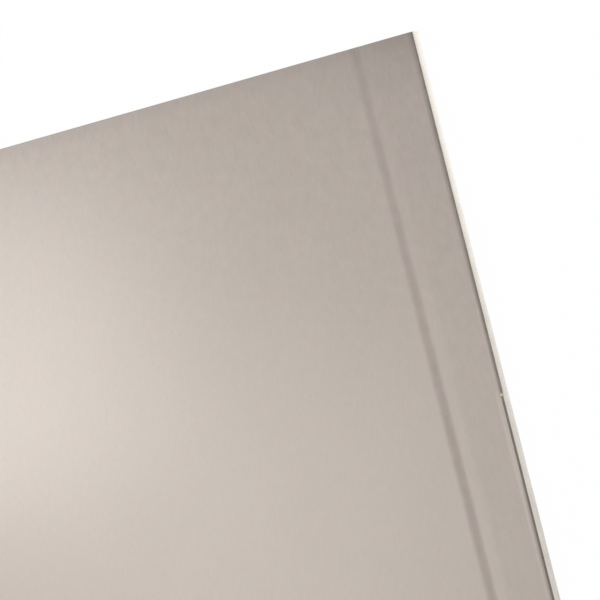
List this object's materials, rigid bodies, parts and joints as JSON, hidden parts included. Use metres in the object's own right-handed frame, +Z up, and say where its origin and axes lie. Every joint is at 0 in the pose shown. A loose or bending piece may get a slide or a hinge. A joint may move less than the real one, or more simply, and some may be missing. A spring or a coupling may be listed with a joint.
{
  "type": "drywall sheet",
  "caption": "Flat gypsum board sheet faced with warm grey paper, tapered and eased along both long edges for joint filler, with square-cut ends.",
  "frame": {"origin": "middle of the back, on the surface that the sheet lies on", "axes": "+X across the width towards the long edge that the picture shows, +Y along the length towards the end that the picture shows, +Z up out of the face"},
  "size_m": [1.2, 2.4, 0.0125],
  "materials": {
    "liner_paper": "matt warm grey paper liner with a slight sheen"
  },
  "bodies": {
    "root": {"drywall_sheet": "liner_paper"}
  },
  "joints": []
}
